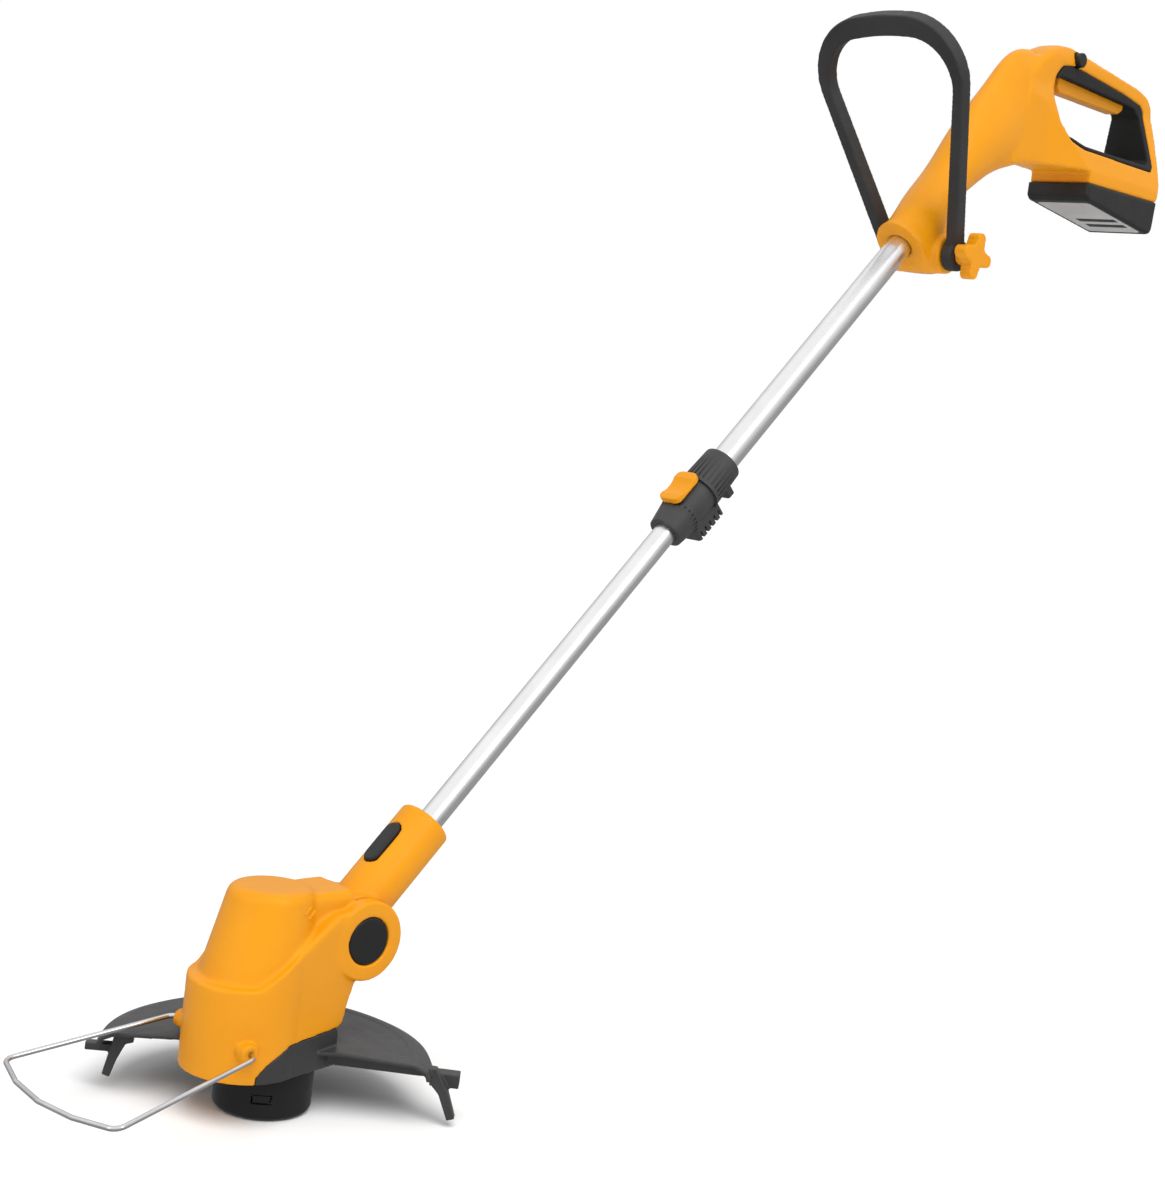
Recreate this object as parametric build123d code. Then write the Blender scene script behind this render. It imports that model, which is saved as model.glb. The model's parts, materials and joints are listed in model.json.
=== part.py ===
from build123d import *
from math import atan2, cos, degrees, radians, sin
import os

os.makedirs("parts", exist_ok=True)

# Cordless string trimmer, millimetres, +Z up.
# Origin: centre of the spool cap's flat bottom face, on the ground; the spool axis is Z.
# +X points back toward the operator, +Y is the operator's right, -Y the operator's left.
# The aluminium tube leans up and back in the XZ plane, from the tilt pivot to the rear handle.

# ---------- driving dimensions ----------
SHAFT_LEAN = 46.0            # tube angle above the ground, degrees
PIVOT_X = 61.0               # head tilt pivot, on the tube axis
PIVOT_Z = 133.75
LOWER_TUBE_R = 10.5
LOWER_TUBE_WALL = 1.2
UPPER_TUBE_R = 12.5
UPPER_TUBE_WALL = 1.0
LOWER_TUBE_SPAN = (41.0, 640.0)      # measured along the tube from the pivot
UPPER_TUBE_SPAN = (506.0, 905.0)
SHELL_WALL = 2.6             # moulded casing wall
RUNNING_FIT = 0.06           # radial clearance of a pin in its bore
GAP = 0.4                    # free gap between two moving plastics

SPOOL_R = 38.4
SPOOL_CAP_TOP = 11.0
SPOOL_CUP_TOP = 35.0
CUTTING_R = 123.4            # where the blade trims the line
CUTTER_ANGLE = 118.0
GUARD_R = 130.0
GUARD_NEAR_END = -46.0       # guard sector, degrees from +X toward +Y
GUARD_FAR_END = 141.0

DOME_BASE_Z, DOME_BASE_X, DOME_BASE_R = 100.0, -21.5, 43.5
DOME_TOP_Z, DOME_TOP_X, DOME_TOP_R = 177.0, -11.0, 33.0
SKIRT_X, SKIRT_R = -25.0, 47.0       # rounded front of the casing in plan
SKIRT_REAR_X, SKIRT_REAR_W = 62.0, 30.0

BOSS_R, BOSS_Y = 32.0, 36.2          # round tilt bosses on the casing
DRUM_R, DRUM_Y = 33.2, 22.2          # neck drum between the bosses
FORK_R, FORK_Y = 33.8, 22.6          # slot in the casing that takes the drum
PIN_R = 5.0
NECK_R, NECK_OFF, NECK_TOP = 22.6, 3.0, 112.0
DISC_BUTTON_R = 19.0

WIRE_R = 2.0
WIRE_PIVOT = (-50.5, 54.0, 62.4)     # arm root of the plant guard wire, mirrored in Y
WIRE_CORNER = (-181.7, 77.5, 38.4)

CLAMP_LOW, CLAMP_MID, CLAMP_HIGH, CLAMP_TOP = 458.0, 484.0, 511.0, 549.0
CLAMP_R = 17.5
CLAMP_RIBS = 26

LOOP_BOLT_X, LOOP_BOLT_Z = 699.0, 752.0
LOOP_LEAN = 29.0             # loop handle tilt forward from vertical, degrees
LOOP_EYE_R = 15.5
HANDLE_HALF = 24.0           # half width of the rear handle's neck
GRIP_HALF = 17.0             # half width of the hand grip
DOCK_HALF = 37.0             # half width of the battery dock
BATTERY_HALF = 37.3
BATTERY_TOP = 856.0

# ---------- frames ----------
lean_cos = cos(radians(SHAFT_LEAN))
lean_sin = sin(radians(SHAFT_LEAN))
TUBE = Plane(origin=(PIVOT_X, 0, PIVOT_Z), x_dir=(-lean_sin, 0, lean_cos), z_dir=(lean_cos, 0, lean_sin))
# plane of the loop handle through its bolt; local y runs up the handle
BOLT = Plane(origin=(LOOP_BOLT_X, 0, LOOP_BOLT_Z), x_dir=(0, 1, 0),
             z_dir=(cos(radians(LOOP_LEAN)), 0, sin(radians(LOOP_LEAN))))


# ---------- helpers ----------
def rod(plane, radius, start, end, x=0.0, y=0.0):
    """Cylinder along the plane's normal from start to end."""
    return plane * Pos(x, y, (start + end) / 2) * Cylinder(radius, end - start)


def pipe(plane, outer, inner, start, end, x=0.0, y=0.0):
    return rod(plane, outer, start, end, x, y) - rod(plane, inner, start - 1, end + 1, x, y)


def upright(radius, low, high, x=0.0, y=0.0):
    return rod(Plane.XY, radius, low, high, x, y)


def ring(outer, inner, low, high, x=0.0, y=0.0):
    return pipe(Plane.XY, outer, inner, low, high, x, y)


def cross(radius, x, z, y_low, y_high):
    """Cylinder along Y."""
    return Pos(x, (y_low + y_high) / 2, z) * Rot(90, 0, 0) * Cylinder(radius, y_high - y_low)


def side(points):
    """Closed outline in the XZ plane."""
    return Polygon(*points, align=None)


def slab(outline, y_low, y_high):
    """XZ outline extruded from y_low to y_high."""
    return extrude(Plane.XZ.offset(-y_high) * outline, y_high - y_low, dir=(0, -1, 0))


def block(x0, x1, y0, y1, z0, z1):
    return Pos((x0 + x1) / 2, (y0 + y1) / 2, (z0 + z1) / 2) * Box(x1 - x0, y1 - y0, z1 - z0)


def half(shape, sign):
    """The part of a shape on one side of the mid-plane Y = 0."""
    return shape & Pos(0, sign * 1000, 500) * Box(4000, 2000, 3000)


def save(shape, node):
    export_step(shape, "parts/" + node + ".step")


def tube_point(along, off=0.0):
    """(x, z) of a point along the tube, off its axis toward the upper side."""
    x = PIVOT_X + along * lean_cos - off * lean_sin
    z = PIVOT_Z + along * lean_sin + off * lean_cos
    return (x, z)


def screw(plane, x, y, head_at, tip_at, head_r=2.9, shank_r=1.4, head_h=2.2):
    """Pan-head screw whose head top is at head_at and whose shank ends at tip_at."""
    way = 1 if head_at > tip_at else -1
    head_base = head_at - way * head_h
    low, high = sorted((head_base, head_at))
    head = rod(plane, head_r, low, high, x, y)
    low, high = sorted((tip_at, head_base))
    shank = rod(plane, shank_r, low, high, x, y)
    slot_w = 0.9
    slot = plane * Pos(x, y, head_at) * Box(head_r * 1.5, slot_w, 1.6)
    cross_slot = plane * Pos(x, y, head_at) * Box(slot_w, head_r * 1.5, 1.6)
    return head + shank - slot - cross_slot


def screw_hole(plane, x, y, head_at, tip_at, head_r=3.2, shank_r=1.4, head_h=2.2):
    way = 1 if head_at > tip_at else -1
    head_base = head_at - way * head_h
    low, high = sorted((head_base, head_at + way * 30))
    head = rod(plane, head_r, low, high, x, y)
    low, high = sorted((tip_at, head_base))
    return head + rod(plane, shank_r, low, high, x, y)


Y_AXIS = Plane(origin=(0, 0, 0), x_dir=(1, 0, 0), z_dir=(0, 1, 0))   # local y is -Z


# ---------- motor casing (head) ----------
SIDE_WALL = [(-75, 36), (-41, 36), (-41, 42), (-33, 51.5), (-14, 63), (41, 66.5), (45, 70), (50, 89),
             (55, 101), (61, 134), (48, 160), (28, 157), (-10, 134), (-44, 109), (-75, 107)]
BRIDGE = [(-12, 110), (-12, 166), (16, 172.5), (50, 173), (52, 150), (30, 110)]
CASING_FLOOR = 36.0


def skirt_plan(inset):
    """Plan of the casing: round front, sides drawn in toward the rear."""
    front_r = SKIRT_R - inset
    rear_w = SKIRT_REAR_W - inset
    front = Pos(SKIRT_X, 0) * Circle(front_r)
    body = Polygon((SKIRT_X, -front_r), (SKIRT_REAR_X, -rear_w), (SKIRT_REAR_X, rear_w),
                   (SKIRT_X, front_r), align=None)
    return front + body


def casing_form(inset):
    """Outer form of the motor casing, or its cavity when inset is the wall."""
    wall_outline, bridge_outline = side(SIDE_WALL), side(BRIDGE)
    base_z, base_r = DOME_BASE_Z, DOME_BASE_R
    if inset:
        wall_outline = offset(wall_outline, -inset, kind=Kind.INTERSECTION)
        bridge_outline = offset(bridge_outline, -inset, kind=Kind.INTERSECTION)
        # the cavity starts lower, so the dome is open to the space below it
        base_z, base_r = DOME_BASE_Z - 30, DOME_BASE_R + 1.5
    walls = slab(wall_outline, -60, 60) & extrude(skirt_plan(inset), 200, dir=(0, 0, 1))
    base = Pos(DOME_BASE_X, 0, base_z) * Circle(base_r - inset)
    top = Pos(DOME_TOP_X, 0, DOME_TOP_Z - inset) * Circle(DOME_TOP_R - inset)
    dome = loft([base, top])
    if not inset:
        crown = dome.edges().sort_by(Axis.Z)[-1]
        dome = fillet(crown, 9)
    section = Plane.YZ.offset(-20) * (Pos(0, 132) * RectangleRounded(50 - 2 * inset, 84 - 2 * inset, 10))
    bridge = extrude(section, 80) & slab(bridge_outline, -30, 30)
    return walls + dome + bridge


def build_casing():
    shell = casing_form(0) + cross(BOSS_R, PIVOT_X, PIVOT_Z, -BOSS_Y, BOSS_Y)
    cavity = casing_form(SHELL_WALL)
    drum_room = cross(FORK_R + SHELL_WALL, PIVOT_X, PIVOT_Z, -FORK_Y - SHELL_WALL, FORK_Y + SHELL_WALL)
    shell -= cavity - drum_room - cross(BOSS_R - 3, PIVOT_X, PIVOT_Z, -BOSS_Y, BOSS_Y)
    # the fork is open where the drum turns, from the crest down to the rear wall
    shell -= cross(FORK_R, PIVOT_X, PIVOT_Z, -FORK_Y, FORK_Y)
    shell -= cross(PIN_R + 0.01, PIVOT_X, PIVOT_Z, -26.5, 26.5)
    # recesses for the disc button and the pivot cap
    for sign in (-1, 1):
        y_low, y_high = sorted((sign * 26.5, sign * (BOSS_Y + 1)))
        shell -= cross(DISC_BUTTON_R + GAP, PIVOT_X, PIVOT_Z, y_low, y_high)
    # lead passage from the neck drum into the motor space
    shell -= Pos(24, 0, 128) * Rot(0, 90, 0) * Cylinder(5, 24)
    # underside: open over the guard mount, closed at the toe
    shell -= extrude(skirt_plan(SHELL_WALL), 200) & block(-40.9, 39, -60, 60, 30, 74)
    x, y, z = WIRE_PIVOT
    for sign in (-1, 1):
        y_low, y_high = sorted((sign * 36, sign * (y - 6.8)))
        shell += cross(7.5, x, z, y_low, y_high)
        y_low, y_high = sorted((sign * 30, sign * (y + 3)))
        shell -= cross(WIRE_R + RUNNING_FIT, x, z, y_low, y_high)
    return shell


casing = build_casing()
screw_sites = [(-60, 92, 28), (26, 84, 26), (-62, 46, 24), (-34, 150, 24)]
for x, z, limit in screw_sites:
    casing += cross(4.2, x, z, -60, 60) & casing_form(0)
casing_screws = []
for x, z, limit in screw_sites:
    head_at = limit - 2
    casing -= screw_hole(Y_AXIS, x, -z, head_at, -limit + 6)
    casing_screws.append(screw(Y_AXIS, x, -z, head_at, -limit + 6))
save(half(casing, -1), "motor_housing_left")
save(half(casing, 1), "motor_housing_right")
save(Compound(casing_screws), "housing_screws")

# ---------- motor and its shaft ----------
MOTOR_R, MOTOR_LOW, MOTOR_HIGH = 18.0, 62.0, 118.0
SHAFT_R = 2.5

MOTOR_SCREW_SITES = [(12.5 * cos(radians(angle)), 12.5 * sin(radians(angle))) for angle in (60, 240)]
can = ring(MOTOR_R, MOTOR_R - 1.2, MOTOR_LOW, MOTOR_HIGH)
can += ring(MOTOR_R, 7.3, MOTOR_LOW, MOTOR_LOW + 1.5) + ring(MOTOR_R, 3.5, MOTOR_HIGH - 1.5, MOTOR_HIGH)
for x, y in MOTOR_SCREW_SITES:
    can -= upright(1.25, MOTOR_LOW - 1, MOTOR_LOW + 3, x, y)
save(can, "motor_can")
save(ring(7.2, SHAFT_R + RUNNING_FIT, MOTOR_LOW - 2, MOTOR_LOW + 4), "shaft_bearing")
rotor = ring(13.5, SHAFT_R + 0.02, 72, 104)
slots = 8
for index in range(slots):
    rotor -= Rot(0, 0, index * 360 / slots) * Pos(13, 0, 88) * Box(5, 2.2, 40)
save(rotor, "motor_rotor")
save(upright(SHAFT_R, 14.2, 114), "motor_shaft")
fan = ring(5, SHAFT_R + 0.02, 50, 57)
blades = 9
for index in range(blades):
    fan += Rot(0, 0, index * 360 / blades) * Pos(11, 0, 53.5) * Rot(0, 0, 20) * Box(14, 1.4, 6)
save(fan, "cooling_fan")
motor_screws = [screw(Plane.XY, x, y, MOTOR_LOW - 5.2, MOTOR_LOW + 6, 2.4, 1.2, 2.0)
                for x, y in MOTOR_SCREW_SITES]
save(Compound(motor_screws), "motor_screws")

# ---------- guard ----------
MOUNT_SIDE = [(-40.6, 36), (-40.6, 41.6), (-32.7, 51.1), (-14, 62.6), (40.6, 66.1), (42, 60), (42, 36)]
GUARD_THICK = 3.0
PLATE_Z = 49.0               # height of the guard's plate near its rim
RIM_DROP = 12.0


def guard_sector(plan):
    """Shallow cone with a turned-down rim, kept only inside the given plan."""
    rim_low = PLATE_Z - RIM_DROP
    profile = Polygon((30, PLATE_Z + 1), (60, PLATE_Z + 3.5), (118, PLATE_Z + 0.5), (127, PLATE_Z - 3.5),
                      (GUARD_R, PLATE_Z - 9), (GUARD_R, rim_low), (GUARD_R - GUARD_THICK, rim_low),
                      (125, PLATE_Z - 6), (117, PLATE_Z + 0.5 - GUARD_THICK),
                      (60, PLATE_Z + 3.5 - GUARD_THICK), (30, PLATE_Z + 1 - GUARD_THICK), align=None)
    plate = revolve(Plane.XZ * profile, Axis.Z, 360)
    return plate & extrude(plan, 200)


def sector_plan(reach):
    points = [(-14, -6)]
    steps = 12
    start, end = GUARD_NEAR_END, GUARD_FAR_END
    for index in range(steps + 1):
        angle = radians(start + (end - start) * index / steps)
        points.append((reach * cos(angle), reach * sin(angle)))
    return Polygon(*points, align=None)


def guard_fin(angle, way, finger, tab):
    """Finger (reach, splay, tip height) on a guard end, and a block (from, to, depth, low, high)."""
    reach, splay, tip = finger
    top = PLATE_Z - 3
    outline = side([(reach - 12, top), (reach + 1, top - 1), (reach + splay * 0.6, 28), (reach + splay, tip),
                    (reach + splay - 6, tip - 2), (reach + splay * 0.6 - 7, 25), (reach - 8, top - 8),
                    (reach - 14, top - 6)])
    low, high = sorted((0, 9 * way))
    finger = slab(outline, low, high)
    tab_from, tab_to, tab_depth, tab_low, tab_high = tab
    low, high = sorted((8 * way, (8 + tab_depth) * way))
    return Rot(0, 0, angle) * (finger + block(tab_from, tab_to, low, high, tab_low, tab_high))


guard = guard_sector(sector_plan(400))
guard_ends = [(GUARD_NEAR_END, 1, 38, (GUARD_R + 2, 19, 7), (128, 151, 13, 28.5, 39.5)),
              (GUARD_FAR_END, -1, 45, (GUARD_R - 14, 8, 13), (118, 139.5, 9, 28.5, 34.5))]
for angle, way, rib_low, finger, tab in guard_ends:
    low, high = sorted((0, 3 * way))
    guard += Rot(0, 0, angle) * block(44, 122, low, high, rib_low, PLATE_Z - 1)
    guard += guard_fin(angle, way, finger, tab)
mount = slab(side(MOUNT_SIDE), -60, 60) & extrude(skirt_plan(0.8), 200)
mount -= slab(offset(side(MOUNT_SIDE), -3, kind=Kind.INTERSECTION), -60, 60) & extrude(skirt_plan(4.5), 200)
mount -= block(-35, 37, -34, 34, 41, 80) & extrude(skirt_plan(4.5), 200)
guard -= extrude(skirt_plan(2), 200) & block(-40, 40, -60, 60, 0, 80)
guard -= slab(side(SIDE_WALL), -60, 60) & extrude(skirt_plan(-0.5), 200)
guard += mount
# bell around the fan, tied to the mount's walls by a cross of ribs
guard += ring(22, 18.2, 41, MOTOR_LOW + 6)
ribs = block(-60, 60, -1.5, 1.5, 47, 57) + block(-1.5, 1.5, -60, 60, 47, 57)
guard += ribs & slab(side(MOUNT_SIDE), -60, 60) & extrude(skirt_plan(0.8), 200, dir=(0, 0, 1))
guard += ring(19, 7.5, MOTOR_LOW - 3.2, MOTOR_LOW)
guard -= upright(7.5, 30, MOTOR_LOW + 1)
guard -= upright(19.5, 46, 58.8)
for x, y in MOTOR_SCREW_SITES:
    guard -= upright(1.25, 50, MOTOR_LOW + 1, x, y)
vent_slots = 6
for index in range(vent_slots):
    guard -= Rot(0, 0, (index + 0.5) * 360 / vent_slots) * block(16, 24, -4, 4, 47, 56)
guard -= upright(MOTOR_R + 0.2, MOTOR_LOW, 130)
guard_screw_sites = [(-30, -27), (-30, 27), (24, -22), (24, 22)]
guard_screws = []
for x, y in guard_screw_sites:
    guard += upright(4, 38.5, 58 if x > 0 else 50, x, y)
    guard -= screw_hole(Plane.XY, x, y, 38.0, 56 if x > 0 else 48)
    guard_screws.append(screw(Plane.XY, x, y, 38.0, 56 if x > 0 else 48))
# shallow panel sunk into the plate's top: it follows the rim, then sweeps inward near the plate's end
PANEL_R, PANEL_DEPTH, PANEL_LAST = 112.0, 0.8, 62
panel_plan = [(83.9, -73.6), (67.8, -66.2), (60.5, -60), (60, -50), (65, -39), (70.6, -28), (75, -18), (77.8, -6),
              (78, 6), (66, 44), (36, 68)]
panel_plan += [(PANEL_R * cos(radians(angle)), PANEL_R * sin(radians(angle))) for angle in range(PANEL_LAST, -41, -6)]
panel_floor = Polygon((50, PLATE_Z + 4 - PANEL_DEPTH), (118, PLATE_Z + 0.5 - PANEL_DEPTH), (118, PLATE_Z + 9),
                      (50, PLATE_Z + 9), align=None)
guard -= extrude(Polygon(*panel_plan, align=None), 100, both=True) & revolve(Plane.XZ * panel_floor, Axis.Z, 360)
cutter_turn = Rot(0, 0, CUTTER_ANGLE)
guard += cutter_turn * block(CUTTING_R - 13, CUTTING_R, -16, 16, 37, PLATE_Z - 3.5)
cutter = block(CUTTING_R - 1.6, CUTTING_R, -16, 16, 26, 37)
cutter += block(CUTTING_R - 13, CUTTING_R, -16, 16, 35.4, 37)
cutter_screws = []
for y in (-9, 9):
    guard -= cutter_turn * upright(1.2, 36, 41, CUTTING_R - 7, y)
    cutter -= upright(1.25, 30, 41, CUTTING_R - 7, y)
    cutter_screws.append(cutter_turn * screw(Plane.XY, CUTTING_R - 7, y, 33.2, 40.5, 2.4, 1.2, 2.2))
save(guard, "guard")
save(Compound(guard_screws), "guard_screws")
save(cutter_turn * cutter, "line_cutter_blade")
save(Compound(cutter_screws), "cutter_screws")

# ---------- cutting head ----------
LATCH_ANGLES = (-128, 52)
EYELET_ANGLE = 75


def spool_parts():
    cup = ring(SPOOL_R, SPOOL_R - 2.4, SPOOL_CAP_TOP, SPOOL_CUP_TOP) \
        + ring(SPOOL_R, SHAFT_R + 0.02, SPOOL_CUP_TOP - 2.5, SPOOL_CUP_TOP)
    cup += ring(6.5, SHAFT_R + 0.02, 21, SPOOL_CUP_TOP)
    cap = upright(SPOOL_R, 0, SPOOL_CAP_TOP)
    cap = fillet(cap.edges().sort_by(Axis.Z)[0], 5)
    cap -= upright(SPOOL_R - 5, 2.5, 20)
    cap += ring(8.5, 7.2, 2.5, 9)
    for angle in LATCH_ANGLES:
        tab = Rot(0, 0, angle) * block(SPOOL_R - 5.6, SPOOL_R - 3.2, -6.5, 6.5, 2.5, 21)
        hook = Rot(0, 0, angle) * block(SPOOL_R - 3.4, SPOOL_R - 1.2, -6.5, 6.5, 14.5, 20)
        window = Rot(0, 0, angle) * block(SPOOL_R - 4, SPOOL_R + 2, -8, 8, 13.5, 21)
        cap += tab + hook
        cup -= window
    hole = Rot(0, 0, EYELET_ANGLE) * Pos(SPOOL_R, 0, 19) * Rot(0, 90, 0) * Cylinder(3.4, 12)
    cup -= hole
    eyelet = Rot(0, 0, EYELET_ANGLE) * Pos(SPOOL_R - 1, 0, 19) * Rot(0, 90, 0) * (
        Cylinder(3.4, 4.4) + Pos(0, 0, 1.9) * Cylinder(4.6, 1.2) - Cylinder(1.4, 12))
    reel = ring(12, 9.2, 10, 30) + ring(30, 9.2, 10, 12) + ring(30, 9.2, 28, 30)
    winding = ring(25, 12.05, 12.2, 27.8)
    spring = ring(8.9, 7.0, 10, 20.8)
    return cup, cap, eyelet, reel, winding, spring


cup, cap, eyelet, reel, winding, reel_spring = spool_parts()
save(cup, "spool_housing")
save(cap, "spool_cap")
save(eyelet, "line_eyelet")
save(reel, "line_spool")
save(winding, "line_winding")
save(reel_spring, "spool_spring")


# ---------- plant guard wire ----------
def build_wire():
    """Bent steel wire: two stubs in the casing bosses, two arms and a bowed front bar."""
    x, y, z = WIRE_PIVOT
    cx, cy, cz = WIRE_CORNER
    inner_y = 37.0
    bend = 9.0
    path = FilletPolyline((x, -inner_y, z), (x, -y, z), (cx, -cy, cz), (cx - 12, -cy / 2, cz - 2.2),
                          (cx - 16, 0, cz - 3), (cx - 12, cy / 2, cz - 2.2), (cx, cy, cz),
                          (x, y, z), (x, inner_y, z), radius=bend)
    start = Plane(origin=(x, -inner_y, z), z_dir=(0, -1, 0))
    return sweep(start * Circle(WIRE_R), path=path)


save(build_wire(), "plant_guard_wire")

# ---------- neck (turns on the lower tube, carries the head) ----------
BUTTON_S, BUTTON_LONG, BUTTON_WIDE = 71.5, 40.0, 15.0
COLLAR_R, COLLAR_SPAN = 15.0, (41.0, 47.0)


def build_neck():
    sleeve = rod(TUBE, NECK_R, 14, NECK_TOP, NECK_OFF)
    sleeve = chamfer(sleeve.edges().sort_by(lambda e: e.center().Z)[-1], 2)
    keep = cross(FORK_R, PIVOT_X, PIVOT_Z, -60, 60)
    neck = (sleeve - keep) + (sleeve & cross(DRUM_R + 3, PIVOT_X, PIVOT_Z, -DRUM_Y, DRUM_Y))
    neck += cross(DRUM_R, PIVOT_X, PIVOT_Z, -DRUM_Y, DRUM_Y)
    neck -= rod(TUBE, LOWER_TUBE_R + RUNNING_FIT, 40.6, 200)
    neck -= rod(TUBE, COLLAR_R + RUNNING_FIT, 40.6, 47.4)
    neck -= rod(TUBE, 6, 10, 60)
    neck -= cross(PIN_R + RUNNING_FIT, PIVOT_X, PIVOT_Z, -40, 40)
    neck -= Pos(PIVOT_X - 20, 0, PIVOT_Z - 4) * Rot(0, 90, 0) * Cylinder(6, 26)
    return neck


NECK_FACE = Plane(origin=TUBE.origin, x_dir=TUBE.z_dir, z_dir=TUBE.x_dir)   # x runs along the tube
neck = build_neck()
neck -= extrude(NECK_FACE.offset(13.5) * Pos(BUTTON_S, 0) * SlotOverall(BUTTON_LONG + 1, BUTTON_WIDE + 1), 30)
neck_screws = []
for off in (-21, 21):
    x, z = tube_point(0, off)
    neck -= screw_hole(Y_AXIS, x, -z, DRUM_Y - 1, -DRUM_Y + 5)
    neck_screws.append(screw(Y_AXIS, x, -z, DRUM_Y - 1, -DRUM_Y + 5))
save(half(neck, -1), "neck_left")
save(half(neck, 1), "neck_right")
save(Compound(neck_screws), "neck_screws")
twist_button = extrude(NECK_FACE.offset(17) * Pos(BUTTON_S, 0) * SlotOverall(BUTTON_LONG, BUTTON_WIDE), 10.4)
twist_button = chamfer(twist_button.faces().sort_by(Axis((0, 0, 0), (-lean_sin, 0, lean_cos)))[-1].edges(), 1.5)
save(twist_button, "twist_button")
save(pipe(NECK_FACE, 4.5, 3.5, 13.5, 17, BUTTON_S), "twist_spring")
save(cross(PIN_R, PIVOT_X, PIVOT_Z, -26.2, 26.2), "tilt_pin")
disc = cross(DISC_BUTTON_R, PIVOT_X, PIVOT_Z, -35.6, -28.6)
disc = chamfer(disc.edges().sort_by(Axis.Y)[0], 1)
save(disc, "tilt_button")
save(pipe(Y_AXIS, 8, 7, -28.6, -26.5, PIVOT_X, -PIVOT_Z), "tilt_spring")
pivot_cap = cross(DISC_BUTTON_R, PIVOT_X, PIVOT_Z, 26.6, 35.6)
save(chamfer(pivot_cap.edges().sort_by(Axis.Y)[-1], 1), "pivot_cap")

# ---------- tubes ----------
low, high = LOWER_TUBE_SPAN
save(pipe(TUBE, LOWER_TUBE_R, LOWER_TUBE_R - LOWER_TUBE_WALL, low, high), "lower_tube")
save(pipe(TUBE, COLLAR_R, LOWER_TUBE_R + 0.02, *COLLAR_SPAN), "lower_tube_collar")
save(pipe(TUBE, UPPER_TUBE_R - UPPER_TUBE_WALL - 0.3, LOWER_TUBE_R + 0.02, high - 15, high), "tube_guide_bush")
low, high = UPPER_TUBE_SPAN
save(pipe(TUBE, UPPER_TUBE_R, UPPER_TUBE_R - UPPER_TUBE_WALL, low, high), "upper_tube")
save(pipe(TUBE, 7, 5, 645, 890), "power_lead_coil")

# ---------- telescopic clamp ----------
CLAMP_BORE = LOWER_TUBE_R + 0.3
PAD_LOW, PAD_HIGH, PAD_WIDE = 477.0, 512.0, 24.0
STEM_AT = 497.5


def ribbed_collar(low_r, high_r, low, high, bore):
    """Tapered collar with grooves cut along it all round."""
    outline = Polygon((bore, low), (low_r, low), (high_r, high), (bore, high), align=None)
    body = revolve(Plane(origin=TUBE.origin, x_dir=TUBE.x_dir, z_dir=(0, 1, 0)) * outline,
                   Axis(TUBE.origin, TUBE.z_dir), 360)
    reach = max(low_r, high_r)
    for index in range(CLAMP_RIBS):
        groove = Box(2.6, 1.9, high - low - 7)
        body -= TUBE * Rot(0, 0, (index + 0.5) * 360 / CLAMP_RIBS) * Pos(reach - 0.2, 0, (low + high) / 2) * groove
    return body


def pad_room(grow, base):
    """Space of the length button: a wide pad over the collars and a stem in the barrel."""
    centre = (PAD_LOW + PAD_HIGH) / 2
    pad = extrude(NECK_FACE.offset(base + 3.2) * Pos(centre, 0)
                  * RectangleRounded(PAD_HIGH - PAD_LOW + 2 * grow, PAD_WIDE + 2 * grow, 6), 40)
    stem = extrude(NECK_FACE.offset(base) * Pos(STEM_AT, 0) * RectangleRounded(20 + 2 * grow, 14 + 2 * grow, 3), 10)
    return pad + stem


lower_collar = ribbed_collar(16.3, 20.0, CLAMP_LOW, CLAMP_MID, CLAMP_BORE)
upper_collar = ribbed_collar(20.0, 18.2, CLAMP_HIGH, CLAMP_TOP, UPPER_TUBE_R + 0.02)
barrel = pipe(TUBE, CLAMP_R, CLAMP_BORE, CLAMP_MID, CLAMP_HIGH)
barrel -= rod(TUBE, UPPER_TUBE_R + 0.02, UPPER_TUBE_SPAN[0], CLAMP_HIGH)
room = pad_room(GAP, 12.2)
barrel -= room
lower_collar -= room
upper_collar -= room
lug = extrude(NECK_FACE.offset(-28.5) * Pos(538, 0) * RectangleRounded(9, 12, 2), 12)
upper_collar += lug - rod(TUBE, 17.6, 500, 600)
pad = pad_room(0, 15.0) & extrude(NECK_FACE.offset(15) * Pos(494, 0) * Rectangle(60, 40), 9)
scoop_centre = tube_point(494, 43.5)
pad -= cross(22, scoop_centre[0], scoop_centre[1], -20, 20)
save(pad, "length_button")
save(pipe(NECK_FACE, 4, 3, 12.3, 15, STEM_AT), "length_spring")
save(lower_collar, "clamp_lower_collar")
save(barrel, "clamp_body")
save(upper_collar, "clamp_upper_collar")
bracket = extrude(NECK_FACE.offset(-30.5) * Pos(499, 0) * RectangleRounded(38, 20, 3), 16.5)
bracket -= rod(TUBE, CLAMP_R, CLAMP_MID, CLAMP_HIGH)
bracket -= rod(TUBE, 20.3, CLAMP_LOW, CLAMP_MID) + rod(TUBE, 20.3, CLAMP_HIGH, CLAMP_TOP)
for index in range(5):
    along = 485 + index * 7
    bracket -= TUBE * Pos(-27, 0, along) * Box(8, 30, 2.6)
clamp_screws = []
for along in (491.5, 505.5):
    x, z = tube_point(along, -21.2)
    bracket -= screw_hole(Y_AXIS, x, -z, 8.5, -6, 2.4, 1.1, 1.8)
    clamp_screws.append(screw(Y_AXIS, x, -z, 8.5, -6, 2.2, 1.1, 1.8))
save(bracket, "clamp_bracket")
save(Compound(clamp_screws), "clamp_screws")

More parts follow.
